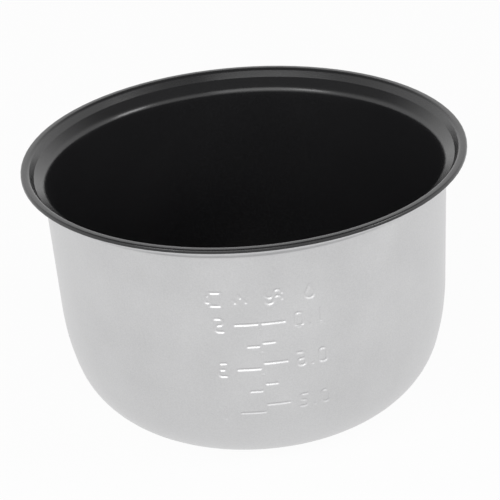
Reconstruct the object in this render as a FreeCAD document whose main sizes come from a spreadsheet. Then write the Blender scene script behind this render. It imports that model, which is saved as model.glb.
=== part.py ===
"""Removable inner pot of a small electric rice cooker: one drawn aluminium bowl with a bonded
non-stick coating. Millimetres, +Z up, origin at the centre of the plane that the pot stands on.
The water-level marks face -Y and read correctly from inside the pot."""
import FreeCAD, Part
import math
import os
import Sketcher

Vector = FreeCAD.Vector
doc = FreeCAD.newDocument("rice_cooker_pot")

# ---------------------------------------------------------------- driving dimensions
# Radii and heights are those of the bare metal's outer side unless a name says otherwise.
DIMENSIONS = [
    ("rim_radius", 100.0),        # outside of the coated lip
    ("height", 121.7),            # base plane to the coated top of the rim
    ("sheet_thickness", 1.5),     # aluminium
    ("coat_thickness", 0.2),      # primer and top coats together
    ("rim_overhang", 9.5),        # lip beyond the top of the wall
    ("ledge_width", 5.1),         # sloping ledge inside the rim
    ("ledge_rise", 3.1),          # its height
    ("step_width", 1.9),          # steep step from ledge to flange
    ("step_rise", 3.2),           # its height
    ("cove_bend", 2.8),           # bend from wall to ledge
    ("ledge_bend", 2.1),          # bend from ledge to step
    ("flange_bend", 0.3),         # bend from step to flange
    ("lip_round", 0.9),           # top edge of the lip, coated
    ("wall_taper", 2.78),         # degrees from vertical
    ("haunch_taper", 15.54),      # degrees from vertical, below the wall
    ("haunch_height", 42.7),      # where wall and haunch lines meet
    ("haunch_bend", 108.0),       # bend between them
    ("base_bend", 40.5),          # bend from haunch to base
    ("base_ring", 8.3),           # flat ring that the pot stands on, inside the base bend
    ("dish_slope_width", 10.0),   # from there to the raised middle
    ("dish_rise", 1.0),           # height of the raised middle
    ("dish_bend", 30.0),          # bends of the slope between them
    ("mark_radius", 0.6),         # half the width of the pressed strokes
    ("mark_depth", 0.45),         # how deep it goes into the outside
    ("ridge_rise", 0.4),          # how far the metal stands proud inside
    ("punch_clearance", 0.2),     # how far the grooves' cutting band starts outside the wall
    ("punch_reach", 5.0),         # how far a stroke's cutting wall stands to each side of its plane
    ("mark_turn", 1.0),           # degrees from -Y towards +X to the scale's upright
    ("top_mark", 80.5),           # height of the highest marks: 5 cups, and 1.0 litre of water
    ("cup_pitch", 11.0),          # from there down to the next cup mark
    ("cup_growth", 0.2),          # what each further step gains as the pot narrows
    ("litre_pitch", 9.6),         # the same for the marks at each 0.2 litre
    ("litre_growth", 0.45),
    ("long_mark", 10.8),
    ("short_mark", 5.9),
    ("mark_root", 0.3),           # from the upright's centre to where a mark's stroke begins
    ("numeral_height", 6.4),      # all glyph sizes are between stroke centres
    ("numeral_width", 3.4),
    ("numeral_roundness", 0.46),  # corner bend, as a share of the smaller of width and half height
    ("cup_numeral_place", 17.6),  # places are distances round the wall from the upright
    ("litre_point_place", 21.9),  # the decimal point
    ("numeral_pitch", 4.9),       # from the point to the numerals beside it
    ("symbol_rise", 12.7),        # from the top marks up to the row of symbols
    ("cup_symbol_place", 18.5),
    ("grain_symbol_place", 8.0),
    ("wave_symbol_place", 6.6),
    ("drop_symbol_place", 22.4),
    ("cup_symbol_width", 5.6),
    ("cup_symbol_foot", 3.8),
    ("cup_symbol_handle", 1.4),
    ("grain_spacing", 2.3),
    ("grain_length", 1.4),
    ("wave_radius", 1.8),
    ("wave_spacing", 2.9),
    ("drop_symbol_foot", 6.8),    # base of the triangle round the drop
    ("drop_symbol_bend", 1.8),
]

sheet = doc.addObject("Spreadsheet::Sheet", "Sheet")
for row, (alias, size) in enumerate(DIMENSIONS, start=1):
    sheet.set(f"A{row}", alias)
    sheet.set(f"B{row}", str(size))
    sheet.setAlias(f"B{row}", alias)
doc.recompute()


def size(expression):
    """The value of an expression in the sheet's aliases."""
    value = sheet.evalExpression(expression)
    return float(getattr(value, "Value", value))


# ---------------------------------------------------------------- section of the sheet
def unit(vector):
    return Vector(vector).multiply(1.0 / vector.Length)


def pin_point(sketch, geo, pos, name, radius, level):
    """Ties a sketch point to a radius and a level given as expressions."""
    for axis, kind, expression in ((-2, "DistanceX", radius), (-1, "DistanceY", level)):
        if expression == "0":
            sketch.addConstraint(Sketcher.Constraint("PointOnObject", geo, pos, axis))
            continue
        index = sketch.addConstraint(
            Sketcher.Constraint(kind, -1, 1, geo, pos, size(expression)))
        sketch.renameConstraint(index, f"{name}_{kind}")
        sketch.setExpression(f"Constraints.{name}_{kind}", expression)


def bent_line(label, corners):
    """A sketch in the XZ plane: straight runs between corners, each inner corner rounded to its bend.
    A corner is (name, radius, level, bend), all but the name as expressions."""
    sketch = doc.addObject("Sketcher::SketchObject", label)
    sketch.Label = label
    sketch.Placement = FreeCAD.Placement(Vector(), FreeCAD.Rotation(Vector(1, 0, 0), 90))
    at = [Vector(size(r), size(z), 0) for _, r, z, _ in corners]
    last = len(corners) - 1
    starts, ends, arcs = [at[0]], [], []
    for i in range(1, last):
        back, onward = unit(at[i - 1] - at[i]), unit(at[i + 1] - at[i])
        half = back.getAngle(onward) / 2
        bend = size(corners[i][3])
        run = bend / math.tan(half)
        centre = at[i] + unit(back + onward) * (bend / math.sin(half))
        first, second = at[i] + back * run, at[i] + onward * run
        left = (back * -1).cross(onward).z > 0
        ends.append(first)
        starts.append(second)
        arcs.append((centre, bend, first, second, left))
    ends.append(at[last])
    lines = [sketch.addGeometry(Part.LineSegment(a, b), False) for a, b in zip(starts, ends)]
    for i, (centre, bend, first, second, left) in enumerate(arcs, start=1):
        name, radius, level, bend_size = corners[i]
        a, b = (first, second) if left else (second, first)
        angle_a = math.atan2((a - centre).y, (a - centre).x)
        angle_b = math.atan2((b - centre).y, (b - centre).x)
        circle = Part.Circle(centre, Vector(0, 0, 1), bend)
        arc = sketch.addGeometry(Part.ArcOfCircle(circle, angle_a, angle_b), False)
        point = sketch.addGeometry(Part.Point(at[i]), True)
        start_pos, end_pos = (1, 2) if left else (2, 1)
        sketch.addConstraint(Sketcher.Constraint("Tangent", lines[i - 1], 2, arc, start_pos))
        sketch.addConstraint(Sketcher.Constraint("Tangent", lines[i], 1, arc, end_pos))
        sketch.addConstraint(Sketcher.Constraint("PointOnObject", point, 1, lines[i - 1]))
        sketch.addConstraint(Sketcher.Constraint("PointOnObject", point, 1, lines[i]))
        index = sketch.addConstraint(Sketcher.Constraint("Radius", arc, bend))
        sketch.renameConstraint(index, f"{name}_bend")
        sketch.setExpression(f"Constraints.{name}_bend", bend_size)
        pin_point(sketch, point, 1, name, radius, level)
    pin_point(sketch, lines[0], 1, corners[0][0], corners[0][1], corners[0][2])
    pin_point(sketch, lines[-1], 2, corners[-1][0], corners[-1][1], corners[-1][2])
    return sketch


WALL_TOP = "Sheet.rim_radius - Sheet.rim_overhang"
FLANGE = "Sheet.height - Sheet.sheet_thickness - Sheet.coat_thickness"
LEDGE_TOP = f"{FLANGE} - Sheet.step_rise"
COVE = f"{LEDGE_TOP} - Sheet.ledge_rise"
LEDGE_EDGE = f"{WALL_TOP} + Sheet.ledge_width"
STEP_EDGE = f"{LEDGE_EDGE} + Sheet.step_width"
HAUNCH = f"{WALL_TOP} - ({COVE} - Sheet.haunch_height) * tan(Sheet.wall_taper)"
BASE_EDGE = f"{HAUNCH} - Sheet.haunch_height * tan(Sheet.haunch_taper)"
BASE_BEND_RUN = "Sheet.base_bend * tan((90 - Sheet.haunch_taper) / 2)"
DISH_FOOT = f"{BASE_EDGE} - {BASE_BEND_RUN} - Sheet.base_ring"
# The haunch bend is held to the wall that the base bend leaves it, the lip round to the flat flange.
HAUNCH_ROOM = f"Sheet.haunch_height / cos(Sheet.haunch_taper) - {BASE_BEND_RUN}"
HAUNCH_TURN = "(Sheet.haunch_taper - Sheet.wall_taper) / 2"
HAUNCH_BEND = f"min(Sheet.haunch_bend; 0.98 * ({HAUNCH_ROOM}) / tan({HAUNCH_TURN}))"
FLANGE_BEND_RUN = "Sheet.flange_bend * tan(atan(Sheet.step_rise / Sheet.step_width) / 2)"
FLAT_FLANGE = f"Sheet.rim_radius - ({STEP_EDGE}) - {FLANGE_BEND_RUN}"
LIP_ROUND = f"min(Sheet.lip_round; 0.9 * ({FLAT_FLANGE}))"

pot_line = bent_line("pot_line", [
    ("middle", "0", "Sheet.dish_rise", None),
    ("dish_top", f"{DISH_FOOT} - Sheet.dish_slope_width", "Sheet.dish_rise", "Sheet.dish_bend"),
    ("dish_foot", DISH_FOOT, "0", "Sheet.dish_bend"),
    ("base_edge", BASE_EDGE, "0", "Sheet.base_bend"),
    ("haunch", HAUNCH, "Sheet.haunch_height", HAUNCH_BEND),
    ("cove", WALL_TOP, COVE, "Sheet.cove_bend"),
    ("ledge", LEDGE_EDGE, LEDGE_TOP, "Sheet.ledge_bend"),
    ("step", STEP_EDGE, FLANGE, "Sheet.flange_bend"),
    ("lip", "Sheet.rim_radius", FLANGE, None),
])
doc.recompute()


def section(label, thickness, line):
    """The section of a sheet of that thickness lying on the inside of a line."""
    offset = doc.addObject("Part::Offset2D", label)
    offset.Label = label
    offset.Source = line
    offset.Mode = "Skin"
    offset.Fill = True
    offset.Value = size(thickness)
    offset.setExpression("Value", thickness)
    return offset


def spun(label, source):
    turned = doc.addObject("Part::Revolution", label)
    turned.Label = label
    turned.Source = source
    turned.Axis = Vector(0, 0, 1)
    turned.Base = Vector()
    turned.Angle = 360
    turned.Solid = True
    return turned


metal_section = section("metal_section", "Sheet.sheet_thickness", pot_line)
coated_section = section(
    "coated_section", "Sheet.sheet_thickness + Sheet.coat_thickness", pot_line)
doc.recompute()
metal_blank = spun("metal_blank", metal_section)
coated_blank = spun("coated_blank", coated_section)


def trim_lip():
    """The bare metal stops short of the rim by the coating that wraps round its edge."""
    limit = doc.addObject("Part::Cylinder", "lip_limit")
    limit.Label = "lip_limit"
    limit.setExpression("Radius", "Sheet.rim_radius - Sheet.coat_thickness")
    limit.setExpression("Height", "Sheet.height")
    trimmed = doc.addObject("Part::Common", "trimmed_metal")
    trimmed.Label = "trimmed_metal"
    trimmed.Base = metal_blank
    trimmed.Tool = limit
    return trimmed


def round_lip(label, source, radius):
    """Rounds the upper outer edge of the lip."""
    doc.recompute()
    top = source.Shape.BoundBox.ZMax
    reach = max(edge.BoundBox.XLength for edge in source.Shape.Edges) / 2
    rounded = doc.addObject("Part::Fillet", label)
    rounded.Label = label
    rounded.Base = source
    rounded.Edges = [
        (number, radius, radius)
        for number, edge in enumerate(source.Shape.Edges, start=1)
        if isinstance(edge.Curve, Part.Circle)
        and math.isclose(edge.Curve.Radius, reach, abs_tol=1e-6)
        and math.isclose(edge.Curve.Center.z, top, abs_tol=1e-6)
    ]
    return rounded


metal_shell = round_lip("metal_shell", trim_lip(), size(f"{LIP_ROUND} - Sheet.coat_thickness"))
coated_shell = round_lip("coated_shell", coated_blank, size(LIP_ROUND))


# ---------------------------------------------------------------- bands that the marks lie in
def band(label, start, thickness):
    """A band all round the pot, between two lines parallel to the pot line."""
    line = doc.addObject("Part::Offset2D", f"{label}_line")
    line.Label = f"{label}_line"
    line.Source = pot_line
    line.Mode = "Skin"
    line.Value = size(start)
    line.setExpression("Value", start)
    doc.recompute()
    return spun(label, section(f"{label}_section", thickness, line))


MIDDLE = "Sheet.sheet_thickness / 2"
groove_band = band(
    "groove_band", "-1 * Sheet.punch_clearance", "Sheet.punch_clearance + Sheet.mark_depth")
ridge_band = band("ridge_band", MIDDLE, f"{MIDDLE} + Sheet.ridge_rise")
coated_band = band("coated_band", MIDDLE, f"{MIDDLE} + Sheet.ridge_rise + Sheet.coat_thickness")
doc.recompute()


# ---------------------------------------------------------------- strokes of the marks
def line_point(level):
    """Where the pot line of the wall crosses a level."""
    across = Part.makeLine(Vector(0, 0, level), Vector(size("rim_radius"), 0, level))
    return pot_line.Shape.distToShape(across)[1][0][0]


def joined(solids):
    whole = solids[0].multiFuse(solids[1:]) if len(solids) > 1 else solids[0]
    return whole.removeSplitter()


# ---------------------------------------------------------------- glyphs
# A glyph is a list of strokes round its own middle, as seen from inside the pot: x to the right,
# y up. A stroke is a list of pieces that run smoothly into each other: ("line", start, end),
# ("arc", centre, radius, start_angle, end_angle) in degrees anticlockwise, or ("dot", middle).
def bent_stroke(points, bend, closed=False):
    """A stroke along straight runs, each corner rounded to a bend."""
    spots = [Vector(*point, 0) for point in points]
    count = len(spots)
    corners = range(count) if closed else range(1, count - 1)
    arcs, leaving, reaching = [], {}, {}
    for i in corners:
        back, onward = unit(spots[i - 1] - spots[i]), unit(spots[(i + 1) % count] - spots[i])
        half = back.getAngle(onward) / 2
        run = bend / math.tan(half)
        centre = spots[i] + unit(back + onward) * (bend / math.sin(half))
        reaching[i], leaving[i] = spots[i] + back * run, spots[i] + onward * run
        ends = [reaching[i] - centre, leaving[i] - centre]
        if ends[0].cross(ends[1]).z < 0:
            ends.reverse()
        start, end = (math.degrees(math.atan2(spot.y, spot.x)) for spot in ends)
        arcs.append(("arc", (centre.x, centre.y), bend, start, end + 360 * (end < start)))
    lines = []
    for i in range(count if closed else count - 1):
        following = (i + 1) % count
        start, end = leaving.get(i, spots[i]), reaching.get(following, spots[following])
        lines.append(("line", (start.x, start.y), (end.x, end.y)))
    return lines + arcs


def numeral_sizes():
    """Half the height and half the width of a numeral, and the bend of its corners."""
    half, side = size("numeral_height") / 2, size("numeral_width") / 2
    return half, side, size("numeral_roundness") * min(half, 2 * side)


def zero():
    half, side, bend = numeral_sizes()
    return [bent_stroke([(side, half), (-side, half), (-side, -half), (side, -half)], bend, True)]


def one():
    half, _, _ = numeral_sizes()
    return [[("line", (0, -half), (0, half))]]


def two():
    half, side, bend = numeral_sizes()
    return [bent_stroke([
        (-side, half), (side, half), (side, 0), (-side, 0), (-side, -half), (side, -half)], bend)]


def three():
    half, side, bend = numeral_sizes()
    root = side - size("mark_root")
    return [
        bent_stroke([(-side, half), (side, half), (side, -half), (-side, -half)], bend),
        [("line", (-side / 2, 0), (root, 0))],
    ]


def five():
    half, side, bend = numeral_sizes()
    return [bent_stroke([
        (side, half), (-side, half), (-side, 0), (side, 0), (side, -half), (-side, -half)], bend)]


def six():
    half, side, bend = numeral_sizes()
    root = side - size("mark_root")
    return [bent_stroke([
        (side, half), (-side, half), (-side, -half), (side, -half), (side, 0), (-root, 0)], bend)]


def point():
    half, _, _ = numeral_sizes()
    return [[("dot", (0, -half))]]


def cup_symbol():
    """A measuring cup seen from the side."""
    half, _, bend = numeral_sizes()
    top, foot = size("cup_symbol_width") / 2, size("cup_symbol_foot") / 2
    reach, root = top + size("cup_symbol_handle"), size("mark_root")
    upper, lower = half / 2, -half / 2
    lean = (top - foot) / (2 * half)
    return [
        bent_stroke([(top, half), (-top, half), (-foot, -half), (foot, -half)], bend, True),
        bent_stroke([
            (top - (half - upper) * lean + root, upper),
            (reach, upper),
            (reach, lower),
            (top - (half - lower) * lean + root, lower)], bend),
    ]


def grain_symbol():
    """Three grains of rice."""
    step, lean = size("grain_spacing"), size("grain_length") / 2
    return [
        [("line", (x - lean / 2, y - lean), (x + lean / 2, y + lean))]
        for x, y in ((-step, -step / 2), (step, -step / 2), (0, step / 2))
    ]


def wave_symbol():
    """Two waves, one above the other."""
    bow, rise = size("wave_radius"), size("wave_spacing") / 2
    return [
        [("arc", (-bow, y), bow, 0, 180), ("arc", (bow, y), bow, 180, 360)]
        for y in (-rise, rise)
    ]


def drop_symbol():
    """A drop of water."""
    half, _, _ = numeral_sizes()
    foot = size("drop_symbol_foot") / 2
    return [bent_stroke([(0, half), (-foot, -half), (foot, -half)], size("drop_symbol_bend"), True)]


def piece_solid(piece, radius, reach):
    """A piece as an upright wall of twice the radius, standing a reach to both sides of the plane."""
    kind, *shape = piece
    up, tall = Vector(0, 0, 1), 2 * reach
    if kind == "dot":
        return Part.makeCylinder(radius, tall, Vector(*shape[0], -reach))
    if kind == "line":
        start, end = Vector(*shape[0], -reach), Vector(*shape[1], -reach)
        side = unit(up.cross(end - start)) * radius
        outline = Part.makePolygon([start + side, start - side, end - side, end + side, start + side])
        return Part.Face(outline).extrude(up * tall)
    centre, bow, start, end = shape
    middle = Vector(*centre, -reach)
    ring = Part.makeCylinder(bow + radius, tall, middle, up, end - start).cut(
        Part.makeCylinder(bow - radius, tall, middle, up, end - start))
    ring.rotate(middle, up, start)
    return ring


def piece_ends(piece):
    """The ends of a piece, each with the angle at which the piece arrives there."""
    kind, *shape = piece
    if kind == "dot":
        return []
    if kind == "line":
        start, end = Vector(*shape[0], 0), Vector(*shape[1], 0)
        run = end - start
        angle = math.degrees(math.atan2(run.y, run.x))
        return [(start, angle + 180), (end, angle)]
    centre, bow, start, end = shape
    return [
        (Vector(*centre, 0) + FreeCAD.Rotation(Vector(0, 0, 1), angle).multVec(Vector(bow, 0, 0)),
         angle + turn)
        for angle, turn in ((start, -90), (end, 90))
    ]


def free_caps(stroke, radius, reach):
    """A half round on each end of a stroke that no other piece of it carries on."""
    ends = [end for piece in stroke for end in piece_ends(piece)]
    caps = []
    for spot, angle in ends:
        if sum(spot.isEqual(other, 1e-6) for other, _ in ends) > 1:
            continue
        foot = spot - Vector(0, 0, reach)
        half_round = Part.makeCylinder(radius, 2 * reach, foot, Vector(0, 0, 1), 180)
        half_round.rotate(foot, Vector(0, 0, 1), angle - 90)
        caps.append(half_round)
    return caps


def glyph(strokes, top, foot, place, radius):
    """Strokes raised from the plane that meets the pot line at two levels, turned to their place
    on the wall: a distance round it from the upright, positive towards +X."""
    reach = size("punch_reach")
    solids = []
    for stroke in strokes:
        pieces = [piece_solid(piece, radius, reach) for piece in stroke]
        solids.append(joined(pieces + free_caps(stroke, radius, reach)))
    upper, lower = line_point(top), line_point(foot)
    across, up = Vector(0, -1, 0), unit(upper - lower)
    inward = across.cross(up)
    middle = (upper + lower) * 0.5
    shape = joined(solids)
    shape.Placement = FreeCAD.Placement(FreeCAD.Matrix(
        across.x, up.x, inward.x, middle.x,
        across.y, up.y, inward.y, middle.y,
        across.z, up.z, inward.z, middle.z,
        0, 0, 0, 1))
    shape.rotate(Vector(), Vector(0, 0, 1), size("mark_turn") - 90 + math.degrees(place / middle.x))
    return shape


def mark_levels(pitch, growth):
    """The levels of five marks, from the top one down."""
    return [
        size("top_mark") - size(pitch) * step - size(growth) * step * (step - 1) / 2
        for step in range(5)
    ]


def scale_strokes(cups, litres):
    """The upright with the cup marks on its right and the litre marks on its left, as read."""
    middle = (cups[0] + cups[-1]) / 2
    half, root = cups[0] - middle, size("mark_root")
    lengths = [size("long_mark"), size("short_mark")]
    strokes = [[("line", (0, -half), (0, half))]]
    for i in range(len(cups)):
        reach = lengths[i % 2]
        strokes.append([("line", (root, cups[i] - middle), (reach, cups[i] - middle))])
        strokes.append([("line", (-root, litres[i] - middle), (-reach, litres[i] - middle))])
    return strokes


def combined(kind, label, base, tool):
    result = doc.addObject(kind, label)
    result.Label = label
    result.Base = base
    result.Tool = tool
    return result


def marks(label, radius, within):
    """The whole scale as strokes twice a radius wide, as deep as the band they lie in."""
    cups = mark_levels("cup_pitch", "cup_growth")
    litres = mark_levels("litre_pitch", "litre_growth")
    half, _, _ = numeral_sizes()
    glyphs = [
        (five(), cups[0], -size("cup_numeral_place")),
        (three(), cups[2], -size("cup_numeral_place")),
        (one(), cups[4], -size("cup_numeral_place")),
    ]
    middle, pitch = size("litre_point_place"), size("numeral_pitch")
    for level, left, right in (
            (litres[0], one(), zero()), (litres[2], zero(), six()), (litres[4], zero(), two())):
        glyphs += [
            (left, level, middle + pitch),
            (point(), level, middle),
            (right, level, middle - pitch),
        ]
    symbols = size("top_mark + symbol_rise")
    glyphs += [
        (cup_symbol(), symbols, -size("cup_symbol_place")),
        (grain_symbol(), symbols, -size("grain_symbol_place")),
        (wave_symbol(), symbols, size("wave_symbol_place")),
        (drop_symbol(), symbols, size("drop_symbol_place")),
    ]
    solids = [glyph(scale_strokes(cups, litres), cups[0], cups[-1], 0, radius)]
    solids += [
        glyph(strokes, level + half, level - half, place, radius)
        for strokes, level, place in glyphs
    ]
    punches = doc.addObject("Part::Feature", f"{label}_punches")
    punches.Label = f"{label}_punches"
    punches.Shape = Part.makeCompound(solids)
    return combined("Part::Common", label, punches, within)


# ---------------------------------------------------------------- the two sub-parts
punch = size("mark_radius")
grooves = marks("grooves", punch, groove_band)
ridges = marks("ridges", punch, ridge_band)
coated_ridges = marks("coated_ridges", punch + size("coat_thickness"), coated_band)
doc.recompute()

ridged_metal = combined("Part::Fuse", "ridged_metal", metal_shell, ridges)
coated_pot = combined("Part::Fuse", "coated_pot", coated_shell, coated_ridges)
pot_body = combined("Part::Cut", "pot_body", ridged_metal, grooves)
nonstick_coating = combined("Part::Cut", "nonstick_coating", coated_pot, ridged_metal)
doc.recompute()

SUB_PARTS = [pot_body, nonstick_coating]
for item in doc.Objects:
    if "Invalid" in item.State or "Error" in item.State:
        raise RuntimeError(f"{item.Label} did not compute: {item.State}")
for item in SUB_PARTS:
    if item.Shape.isNull() or not item.Shape.isValid() or len(item.Shape.Solids) != 1:
        raise RuntimeError(f"{item.Label} is not one valid solid")

os.makedirs("parts", exist_ok=True)
for item in SUB_PARTS:
    item.Shape.exportStep(f"parts/{item.Label}.step")
    print(item.Label, round(item.Shape.Volume, 1), "mm3", item.Shape.BoundBox)
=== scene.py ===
import math

import bmesh
import bpy
from mathutils import Matrix, Vector


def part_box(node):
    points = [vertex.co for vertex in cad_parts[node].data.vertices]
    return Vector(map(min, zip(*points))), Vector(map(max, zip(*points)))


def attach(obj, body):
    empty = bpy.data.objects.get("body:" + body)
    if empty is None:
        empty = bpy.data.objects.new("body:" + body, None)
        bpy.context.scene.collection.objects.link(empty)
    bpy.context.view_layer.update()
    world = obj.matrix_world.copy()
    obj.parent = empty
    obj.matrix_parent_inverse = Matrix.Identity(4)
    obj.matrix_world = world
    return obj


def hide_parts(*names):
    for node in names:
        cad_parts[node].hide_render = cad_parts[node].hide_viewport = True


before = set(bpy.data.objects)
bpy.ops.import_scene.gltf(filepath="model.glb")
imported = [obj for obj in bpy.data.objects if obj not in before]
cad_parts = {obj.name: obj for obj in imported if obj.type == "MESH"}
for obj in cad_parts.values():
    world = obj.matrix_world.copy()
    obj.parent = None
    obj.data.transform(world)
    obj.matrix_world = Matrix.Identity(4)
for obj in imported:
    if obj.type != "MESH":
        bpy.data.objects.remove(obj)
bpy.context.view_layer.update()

mm = 0.001

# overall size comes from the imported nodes, everything else is set here
coatLow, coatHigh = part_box("nonstick_coating")
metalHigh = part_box("pot_body")[1]
rimRadius = (coatHigh[0] - coatLow[0]) / 2
potHeight = coatHigh[2]
coatThickness = coatHigh[2] - metalHigh[2]


pot = {
    "sheet": 1.5 * mm,
    "overhang": 9.5 * mm,          # lip beyond the top of the wall
    "ledge": (5.1 * mm, 3.1 * mm),
    "step": (1.9 * mm, 3.2 * mm),
    "coveBend": 2.8 * mm,
    "ledgeBend": 2.1 * mm,
    "flangeBend": 0.3 * mm,
    "lipRound": 0.9 * mm,
    "lipFoot": 0.12 * mm,
    "wallTaper": math.radians(2.78),
    "haunchTaper": math.radians(15.54),
    "haunchHeight": 42.7 * mm,
    "haunchBend": 108 * mm,
    "baseBend": 40.5 * mm,
    "dishRadius": 36 * mm,
    "dishSlope": 10 * mm,
    "dishRise": 1 * mm,
    "dishBend": 30 * mm,
    "plainAbove": 99 * mm,         # the wall above this height carries no marks
    "markedCorners": (4, 5),       # corners whose runs carry the marks
    "arcStep": math.radians(12),   # longest step round a bend
}


def potCorners():
    # outer line as (radius, height, bend), from the middle of the base to the flange's underside
    flange = potHeight - pot["sheet"] - coatThickness
    wallTop = rimRadius - pot["overhang"]
    ledgeTop = flange - pot["step"][1]
    cove = ledgeTop - pot["ledge"][1]
    haunch = wallTop - (cove - pot["haunchHeight"]) * math.tan(pot["wallTaper"])
    base = haunch - pot["haunchHeight"] * math.tan(pot["haunchTaper"])
    ledgeEdge = wallTop + pot["ledge"][0]
    split = wallTop - (cove - pot["plainAbove"]) * math.tan(pot["wallTaper"])
    return [
        (0, pot["dishRise"], 0),
        (pot["dishRadius"] - pot["dishSlope"], pot["dishRise"], pot["dishBend"]),
        (pot["dishRadius"], 0, pot["dishBend"]),
        (base, 0, pot["baseBend"]),
        (haunch, pot["haunchHeight"], pot["haunchBend"]),
        (split, pot["plainAbove"], 0),
        (wallTop, cove, pot["coveBend"]),
        (ledgeEdge, ledgeTop, pot["ledgeBend"]),
        (ledgeEdge + pot["step"][0], flange, pot["flangeBend"]),
        (rimRadius, flange, 0),
    ]


def insideOf(corners, depth):
    # the same line moved towards the inside, with its bends tightened or opened to suit
    at = [Vector((r, z)) for r, z, _ in corners]
    normals = []
    for a, b in zip(at, at[1:]):
        run = (b - a).normalized()
        normals.append(Vector((-run.y, run.x)))
    moved = []
    for i, (r, z, bend) in enumerate(corners):
        before, after = normals[max(i - 1, 0)], normals[min(i, len(normals) - 1)]
        shift = (before + after) * (depth / (1 + before.dot(after)))
        turn = before.cross(after)
        newBend = bend - math.copysign(depth, turn) if bend else 0
        moved.append((r + shift.x, z + shift.y, newBend))
    return moved


def vertAt(bm, spot):
    return min(bm.verts, key=lambda v: (v.co - spot).length)


def drawRun(bm, start, end, spacing):
    # a straight run as one extruded edge, cut to the spacing
    made = bmesh.ops.extrude_vert_indiv(bm, verts=[vertAt(bm, start)])
    made["verts"][0].co = end
    cuts = int((end - start).length / spacing)
    if cuts:
        bmesh.ops.subdivide_edges(bm, edges=made["edges"], cuts=cuts)


def drawProfile(bm, corners):
    # straight runs and true arcs in the XZ plane
    at = [Vector((r, 0, z)) for r, z, _ in corners]
    pen = bm.verts.new(at[0]).co.copy()
    for i in range(1, len(corners)):
        bend = corners[i][2]
        spacing = spacingAt(i)
        if not bend:
            drawRun(bm, pen, at[i], spacing)
            pen = at[i]
            continue
        back, onward = (at[i - 1] - at[i]).normalized(), (at[i + 1] - at[i]).normalized()
        half = back.angle(onward) / 2
        into = at[i] + back * (bend / math.tan(half))
        drawRun(bm, pen, into, spacing)
        centre = at[i] + (back + onward).normalized() * (bend / math.sin(half))
        turn = math.pi - 2 * half
        steps = max(3, math.ceil(bend * turn / min(spacing, bend * pot["arcStep"])))
        bmesh.ops.spin(
            bm, geom=[vertAt(bm, into)], cent=centre, axis=(-back).cross(onward).normalized(),
            angle=turn, steps=steps, use_merge=False, use_duplicate=False)
        pen = at[i] + onward * (bend / math.tan(half))


turned = {
    "fineFrom": math.radians(-17.5),   # finer columns either side of the marks, -Y is 0
    "fineTo": math.radians(24.5),
    "fineSteps": 170,
    "plainSteps": 80,
    "fineSpacing": 0.3 * mm,
    "plainSpacing": 4 * mm,
    "merge": 0.002 * mm,
}


def turnProfile(bm):
    # two spins in a row, a fine one past the marks and a coarser one round the rest
    bmesh.ops.rotate(
        bm, verts=bm.verts, cent=(0, 0, 0),
        matrix=Matrix.Rotation(turned["fineFrom"] - math.pi / 2, 3, "Z"))
    fine = turned["fineTo"] - turned["fineFrom"]
    ring = bmesh.ops.spin(
        bm, geom=bm.verts[:] + bm.edges[:], cent=(0, 0, 0), axis=(0, 0, 1), angle=fine,
        steps=turned["fineSteps"], use_merge=False, use_duplicate=False)
    bmesh.ops.spin(
        bm, geom=ring["geom_last"], cent=(0, 0, 0), axis=(0, 0, 1), angle=2 * math.pi - fine,
        steps=turned["plainSteps"], use_merge=False, use_duplicate=False)
    bmesh.ops.remove_doubles(bm, verts=bm.verts, dist=turned["merge"])
    bmesh.ops.recalc_face_normals(bm, faces=bm.faces)


def finishPiece(bm, name, node, material):
    mesh = bpy.data.meshes.new(name)
    for face in bm.faces:
        face.smooth = True
    bm.to_mesh(mesh)
    bm.free()
    piece = bpy.data.objects.new(name, mesh)
    bpy.context.scene.collection.objects.link(piece)
    mesh.materials.append(material)
    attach(piece, "root")
    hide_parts(node)


marks = {
    "halfWidth": 0.95 * mm,
    "grooveDepth": 0.45 * mm,
    "ridgeRise": 0.4 * mm,
    "turn": math.radians(1),       # the scale's upright, from -Y towards +X
    "top": 80.5 * mm,
    "cupSteps": (11 * mm, 0.2 * mm),
    "litreSteps": (9.6 * mm, 0.45 * mm),
    "long": 10.8 * mm,
    "short": 5.9 * mm,
    "height": 6.4 * mm,
    "width": 3.4 * mm,
    "roundness": 0.46,
    "cupNumerals": -17.6 * mm,     # distances round the wall from the upright, + towards +X
    "litrePoint": 21.9 * mm,
    "pitch": 4.9 * mm,
    "symbols": 93.2 * mm,
    "cup": -18.5 * mm,
    "grain": -8 * mm,
    "wave": 6.6 * mm,
    "drop": 22.4 * mm,
}


def markLevels(first, growth):
    return [marks["top"] - first * i - growth * i * (i - 1) / 2 for i in range(5)]


def numeral(name):
    # plain numerals as seen from inside: x to the right, y up
    y, x = marks["height"] / 2, marks["width"] / 2
    shapes = {
        "0": [[(0, y), (-x, y), (-x, -y), (x, -y), (x, y), (0, y)]],
        "1": [[(0, -y), (0, y)]],
        "2": [[(-x, y), (x, y), (x, 0), (-x, 0), (-x, -y), (x, -y)]],
        "3": [[(-x, y), (x, y), (x, -y), (-x, -y)], [(-x / 2, 0), (x, 0)]],
        "5": [[(x, y), (-x, y), (-x, 0), (x, 0), (x, -y), (-x, -y)]],
        "6": [[(x, y), (-x, y), (-x, -y), (x, -y), (x, 0), (-x, 0)]],
        ".": [[(0, -y), (0, -y)]],
    }
    bend = marks["roundness"] * min(y, 2 * x)
    return [roundedStroke(stroke, bend) for stroke in shapes[name]]


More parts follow.
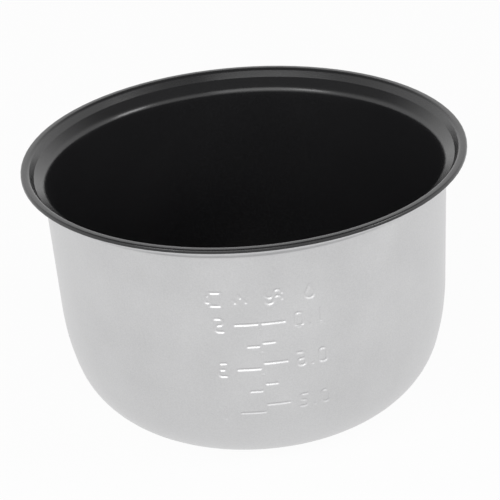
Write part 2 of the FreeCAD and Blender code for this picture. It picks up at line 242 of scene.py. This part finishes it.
def roundedStroke(points, bend):
    # each inner corner of a line of strokes becomes an arc
    spots = [Vector(point) for point in points]
    smooth = [spots[0]]
    for before, corner, after in zip(spots, spots[1:], spots[2:]):
        back, onward = (before - corner).normalized(), (after - corner).normalized()
        half = back.angle(onward) / 2
        centre = corner + (back + onward).normalized() * (bend / math.sin(half))
        start = corner + back * (bend / math.tan(half)) - centre
        end = corner + onward * (bend / math.tan(half)) - centre
        turn = start.angle_signed(end)
        smooth += [centre + Matrix.Rotation(-turn * i / 6, 2) @ start for i in range(7)]
    return smooth + [spots[-1]]


symbols = {
    "cupTop": 2.8 * mm,            # half widths of the measuring cup
    "cupFoot": 1.9 * mm,
    "cupHandle": 1.4 * mm,         # how far the handle stands out
    "cupHandleBend": 1 * mm,
    "grainLean": 0.7 * mm,         # half length of a grain, along x and y
    "grainStep": 2.3 * mm,
    "waveBow": 1.8 * mm,
    "waveStep": 2.9 * mm,
    "dropBow": 1.9 * mm,
}


def measuringCup():
    y, top, foot = marks["height"] / 2, symbols["cupTop"], symbols["cupFoot"]
    body = [(-top, y), (top, y), (foot, -y), (-foot, -y), (-top, y)]
    lean = (top - foot) / (2 * y)
    reach = top + symbols["cupHandle"]
    handle = [
        (top - y / 2 * lean, y / 2), (reach, y / 2),
        (reach, -y / 2), (foot + y / 2 * lean, -y / 2),
    ]
    return [body, roundedStroke(handle, symbols["cupHandleBend"])]


def riceGrains():
    lean, step = symbols["grainLean"], symbols["grainStep"]
    spots = ((-step, -step / 2), (step, -step / 2), (0, step / 2))
    return [[(x - lean / 2, y - lean), (x + lean / 2, y + lean)] for x, y in spots]


def waves():
    bow, rows = symbols["waveBow"], (-symbols["waveStep"] / 2, symbols["waveStep"] / 2)
    angles = [math.radians(15 * i) for i in range(13)]
    crest = [(-bow - bow * math.cos(a), bow * math.sin(a)) for a in angles]
    trough = [(bow - bow * math.cos(a), -bow * math.sin(a)) for a in angles]
    return [[(x, y + row) for x, y in crest + trough[1:]] for row in rows]


def waterDrop():
    y, bow = marks["height"] / 2, symbols["dropBow"]
    lean = math.acos(bow / (2 * y - bow))
    sweep = [math.pi / 2 + lean + (2 * math.pi - 2 * lean) * i / 16 for i in range(17)]
    return [[(0, y)] + [(bow * math.cos(a), bow - y + bow * math.sin(a)) for a in sweep] + [(0, y)]]


def placed(strokes, place, level):
    # read from inside, so x runs against the direction round the wall
    return [[Vector((place - x, level + y)) for x, y in stroke] for stroke in strokes]


def allStrokes():
    cups, litres = markLevels(*marks["cupSteps"]), markLevels(*marks["litreSteps"])
    strokes = [[Vector((0, cups[0])), Vector((0, cups[-1]))]]
    for i in range(5):
        reach = marks["short"] if i % 2 else marks["long"]
        strokes.append([Vector((0, cups[i])), Vector((-reach, cups[i]))])
        strokes.append([Vector((0, litres[i])), Vector((reach, litres[i]))])
    for name, level in (("5", cups[0]), ("3", cups[2]), ("1", cups[4])):
        strokes += placed(numeral(name), marks["cupNumerals"], level)
    for names, level in (("1.0", litres[0]), ("0.6", litres[2]), ("0.2", litres[4])):
        for name, side in zip(names, (1, 0, -1)):
            strokes += placed(numeral(name), marks["litrePoint"] + side * marks["pitch"], level)
    for symbol, place in (
            (measuringCup, "cup"), (riceGrains, "grain"), (waves, "wave"), (waterDrop, "drop")):
        strokes += placed(symbol(), marks[place], marks["symbols"])
    return strokes


def pressMarks(bm, line, depth):
    # moves one side of the wall inwards along its normals, as a round-nosed punch does
    bm.normal_update()
    reach = marks["halfWidth"]
    low = markLevels(*marks["cupSteps"])[-1] - marks["height"]
    high = marks["symbols"] + marks["height"]
    onLine = {(round(r / mm, 3), round(z / mm, 3)) for r, z in line if low < z < high}
    spots = {}
    for v in bm.verts:
        radius = math.hypot(v.co.x, v.co.y)
        angle = math.atan2(v.co.x, -v.co.y)
        if not turned["fineFrom"] < angle < turned["fineTo"]:
            continue
        if (round(radius / mm, 3), round(v.co.z / mm, 3)) in onLine:
            spots[v] = Vector(((angle - marks["turn"]) * radius, v.co.z))
    pressed = {}
    for stroke in allStrokes():
        lowX, highX = min(p.x for p in stroke) - reach, max(p.x for p in stroke) + reach
        lowY, highY = min(p.y for p in stroke) - reach, max(p.y for p in stroke) + reach
        near = [(v, p) for v, p in spots.items() if lowX < p.x < highX and lowY < p.y < highY]
        for v, p in near:
            for a, b in zip(stroke, stroke[1:]):
                run = b - a
                along = max(0, min(1, (p - a).dot(run) / (run.length_squared or 1)))
                gap = (p - a - run * along).length / reach
                if gap < 1:
                    pressed[v] = max(pressed.get(v, 0), 0.5 + 0.5 * math.cos(math.pi * gap))
    for v, share in pressed.items():
        inward = Vector((-v.co.x, -v.co.y, 0)).normalized()
        inward.z = math.tan(pot["wallTaper"])
        v.co += inward.normalized() * depth * share
    print("pressed", len(pressed), "of", len(spots), "vertices")


def spacingAt(i):
    # fine rows along the wall that carries the marks, plain ones elsewhere
    return turned["fineSpacing"] if i in pot["markedCorners"] else turned["plainSpacing"]


def makePot(material):
    outer = potCorners()[:-1] + [(rimRadius - coatThickness, potCorners()[-1][1], pot["lipFoot"])]
    inner = insideOf(potCorners(), pot["sheet"])
    edge = [(rimRadius - coatThickness, inner[-1][1], pot["lipRound"] - coatThickness)]
    corners = outer + edge + inner[-2::-1]
    bm = bmesh.new()
    drawProfile(bm, corners)
    line = [(v.co.x, v.co.z) for v in bm.verts]
    turnProfile(bm)
    pressMarks(bm, line, marks["grooveDepth"])
    finishPiece(bm, "pot", "pot_body", material)


def makeCoating(material):
    seen = insideOf(potCorners(), pot["sheet"] + coatThickness)
    hidden = insideOf(potCorners(), pot["sheet"])
    flange = potCorners()[-1][1]
    bare = rimRadius - coatThickness
    lip = [
        (rimRadius, seen[-1][1], pot["lipRound"]),
        (rimRadius, flange, pot["lipFoot"]),
        (bare, flange, 0),
        (bare, hidden[-1][1], pot["lipRound"] - coatThickness),
    ]
    corners = seen[:-1] + lip + hidden[-2::-1]
    bm = bmesh.new()
    drawProfile(bm, corners)
    line = [(v.co.x, v.co.z) for v in bm.verts]
    turnProfile(bm)
    pressMarks(bm, line, marks["ridgeRise"])
    finishPiece(bm, "coating", "nonstick_coating", material)


def newMaterial(name):
    material = bpy.data.materials.new(name)
    material.use_nodes = True
    return material, material.node_tree.nodes, material.node_tree.links


frostNoise = {
    # name: detail, roughness of the noise
    "Grain": (3, 0.6),
    "Cloud": (2, 0.5),
}
frostRange = (0.3, 0.7)            # where most of the noise lies


def frostGroup():
    # fine frosted grain and slow cloudy variation, put out as two factors round 0.5
    group = bpy.data.node_groups.new("frost", "ShaderNodeTree")
    for name in frostNoise:
        group.interface.new_socket(
            name + " Scale", in_out="INPUT", socket_type="NodeSocketFloat")
        group.interface.new_socket(name, in_out="OUTPUT", socket_type="NodeSocketFloat")
    nodes, links = group.nodes, group.links
    given, result = nodes.new("NodeGroupInput"), nodes.new("NodeGroupOutput")
    place = nodes.new("ShaderNodeTexCoord")
    for name, (detail, rough) in frostNoise.items():
        noise = nodes.new("ShaderNodeTexNoise")
        noise.inputs["Detail"].default_value = detail
        noise.inputs["Roughness"].default_value = rough
        links.new(place.outputs["Object"], noise.inputs["Vector"])
        links.new(given.outputs[name + " Scale"], noise.inputs["Scale"])
        links.new(noise.outputs["Fac"], result.inputs[name])
    return group


def stretched(nodes, links, source, low, high):
    # a factor round 0.5 spread out to a range
    spread = nodes.new("ShaderNodeMapRange")
    spread.inputs["From Min"].default_value = frostRange[0]
    spread.inputs["From Max"].default_value = frostRange[1]
    spread.inputs["To Min"].default_value = low
    spread.inputs["To Max"].default_value = high
    links.new(source, spread.inputs["Value"])
    return spread.outputs["Result"]


aluminium = {
    "metallic": 1,
    "dark": (0.53, 0.53, 0.535, 1),
    "light": (0.66, 0.66, 0.665, 1),
    "grainShare": 0.5,             # how much of the tone the grain moves
    "cloudTone": (0.1, 0.4),       # what the clouds add to it
    "roughness": (0.3, 0.4),
    "grainScale": 1500,
    "cloudScale": 38,
    "grainDepth": 0.012 * mm,
    "bumpStrength": 0.6,
}

coating = {
    "metallic": 0,
    "dark": (0.008, 0.008, 0.0085, 1),
    "light": (0.016, 0.016, 0.017, 1),
    "grainShare": 1,
    "cloudTone": (0, 0),           # the grain alone
    "roughness": (0.2, 0.27),
    "grainScale": 2600,
    "cloudScale": 30,
    "grainDepth": 0.006 * mm,
    "bumpStrength": 0.4,
}


def frostedFinish(name, finish, group):
    # metal or coating: tone from grain and cloud, roughness from cloud, fine bumps from grain
    material, nodes, links = newMaterial(name)
    shader = nodes["Principled BSDF"]
    shader.inputs["Metallic"].default_value = finish["metallic"]
    frost = nodes.new("ShaderNodeGroup")
    frost.node_tree = group
    frost.inputs["Grain Scale"].default_value = finish["grainScale"]
    frost.inputs["Cloud Scale"].default_value = finish["cloudScale"]
    blend = nodes.new("ShaderNodeMath")
    blend.operation = "MULTIPLY_ADD"
    blend.inputs[1].default_value = finish["grainShare"]
    links.new(stretched(nodes, links, frost.outputs["Grain"], 0, 1), blend.inputs[0])
    links.new(stretched(nodes, links, frost.outputs["Cloud"], *finish["cloudTone"]), blend.inputs[2])
    tone = nodes.new("ShaderNodeMix")
    tone.data_type = "RGBA"
    tone.inputs["A"].default_value = finish["dark"]
    tone.inputs["B"].default_value = finish["light"]
    links.new(blend.outputs["Value"], tone.inputs["Factor"])
    links.new(tone.outputs["Result"], shader.inputs["Base Color"])
    links.new(
        stretched(nodes, links, frost.outputs["Cloud"], *finish["roughness"]),
        shader.inputs["Roughness"])
    bump = nodes.new("ShaderNodeBump")
    bump.inputs["Strength"].default_value = finish["bumpStrength"]
    bump.inputs["Distance"].default_value = finish["grainDepth"]
    links.new(frost.outputs["Grain"], bump.inputs["Height"])
    links.new(bump.outputs["Normal"], shader.inputs["Normal"])
    return material


frost = frostGroup()
satinAluminium = frostedFinish("satinAluminium", aluminium, frost)
blackCoating = frostedFinish("blackCoating", coating, frost)
print("finishes made")
makePot(satinAluminium)
print("pot made")
makeCoating(blackCoating)
print("coating made")


studio = {
    "floorSize": 6.0,
    "floorColour": (0.8, 0.8, 0.8, 1),
    "floorGlow": 0.94,             # share of plain white that eye and gloss see in the floor
    "horizon": 1.3,                # strength of the room up to the first of the rises
    "zenith": 0.2,                 # and from the second
    "rises": (0.45, 0.75),         # sines of the angle above the floor
    "sensor": 36,
    "lens": 217.6675,
    "place": (0, -1.235725, 0.67267),
    "right": (0.997121, -0.032922, -0.068314),
    "up": (0.075833, 0.4354978, 0.89699),
}


def makeFloor():
    # a pale floor that looks white to the eye and in reflections, and keeps a faint shadow
    bm = bmesh.new()
    bmesh.ops.create_grid(bm, x_segments=1, y_segments=1, size=studio["floorSize"] / 2)
    mesh = bpy.data.meshes.new("floor")
    bm.to_mesh(mesh)
    bm.free()
    floor = bpy.data.objects.new("floor", mesh)
    bpy.context.scene.collection.objects.link(floor)
    material, nodes, links = newMaterial("paleFloor")
    diffuse = nodes["Principled BSDF"]
    diffuse.inputs["Base Color"].default_value = studio["floorColour"]
    diffuse.inputs["Roughness"].default_value = 1
    glow = nodes.new("ShaderNodeEmission")
    glow.inputs["Strength"].default_value = 1
    path = nodes.new("ShaderNodeLightPath")
    mix = nodes.new("ShaderNodeMixShader")
    seen = nodes.new("ShaderNodeMath")
    seen.operation = "MAXIMUM"
    share = nodes.new("ShaderNodeMath")
    share.operation = "MULTIPLY"
    share.inputs[1].default_value = studio["floorGlow"]
    links.new(path.outputs["Is Camera Ray"], seen.inputs[0])
    links.new(path.outputs["Is Glossy Ray"], seen.inputs[1])
    links.new(seen.outputs["Value"], share.inputs[0])
    links.new(share.outputs["Value"], mix.inputs["Fac"])
    links.new(diffuse.outputs["BSDF"], mix.inputs[1])
    links.new(glow.outputs["Emission"], mix.inputs[2])
    links.new(mix.outputs["Shader"], nodes["Material Output"].inputs["Surface"])
    mesh.materials.append(material)


def makeWorld():
    # white to the camera; to the object a room that is bright along the horizon and dim overhead
    world = bpy.data.worlds.new("studio")
    bpy.context.scene.world = world
    world.use_nodes = True
    nodes, links = world.node_tree.nodes, world.node_tree.links
    place = nodes.new("ShaderNodeTexCoord")
    parts = nodes.new("ShaderNodeSeparateXYZ")
    links.new(place.outputs["Generated"], parts.inputs["Vector"])
    rise = nodes.new("ShaderNodeMapRange")
    rise.inputs["From Min"].default_value = studio["rises"][0]
    rise.inputs["From Max"].default_value = studio["rises"][1]
    rise.inputs["To Min"].default_value = studio["horizon"]
    rise.inputs["To Max"].default_value = studio["zenith"]
    links.new(parts.outputs["Z"], rise.inputs["Value"])
    soft = nodes["Background"]
    links.new(rise.outputs["Result"], soft.inputs["Strength"])
    soft.inputs["Color"].default_value = (1, 1, 1, 1)
    white = nodes.new("ShaderNodeBackground")
    white.inputs["Color"].default_value = (1, 1, 1, 1)
    path = nodes.new("ShaderNodeLightPath")
    mix = nodes.new("ShaderNodeMixShader")
    links.new(path.outputs["Is Camera Ray"], mix.inputs["Fac"])
    links.new(soft.outputs["Background"], mix.inputs[1])
    links.new(white.outputs["Background"], mix.inputs[2])
    links.new(mix.outputs["Shader"], nodes["World Output"].inputs["Surface"])


lamps = {
    # name: place, aim, width, height, watts
    "left": ((-0.85, -0.85, 0.75), (0, 0, 0.1), 0.4, 0.4, 3),
    "right": ((1.1, -0.41, 0.6), (0, 0, 0.1), 0.4, 0.4, 3),
    "front": ((-0.3, -1.55, 1.1), (0, 0, 0.06), 1.5, 1.1, 9),
}


def makeLamps():
    for name, (place, aim, width, height, watts) in lamps.items():
        light = bpy.data.lights.new(name, "AREA")
        light.shape = "RECTANGLE"
        light.size, light.size_y = width, height
        light.energy = watts
        lamp = bpy.data.objects.new(name, light)
        lamp.location = place
        lamp.rotation_euler = (Vector(aim) - Vector(place)).to_track_quat("-Z", "Y").to_euler()
        bpy.context.scene.collection.objects.link(lamp)


def makeCamera():
    lens = bpy.data.cameras.new("camera")
    lens.lens = studio["lens"]
    lens.sensor_width = studio["sensor"]
    camera = bpy.data.objects.new("camera", lens)
    right, up = Vector(studio["right"]), Vector(studio["up"])
    turn = Matrix((right, up, right.cross(up))).transposed().to_4x4()
    camera.matrix_world = Matrix.Translation(studio["place"]) @ turn
    bpy.context.scene.collection.objects.link(camera)
    bpy.context.scene.camera = camera


makeFloor()
makeWorld()
print("floor and world made")
makeLamps()
print("lamps made")
makeCamera()
bpy.context.scene.view_settings.view_transform = "Standard"
print("camera made")
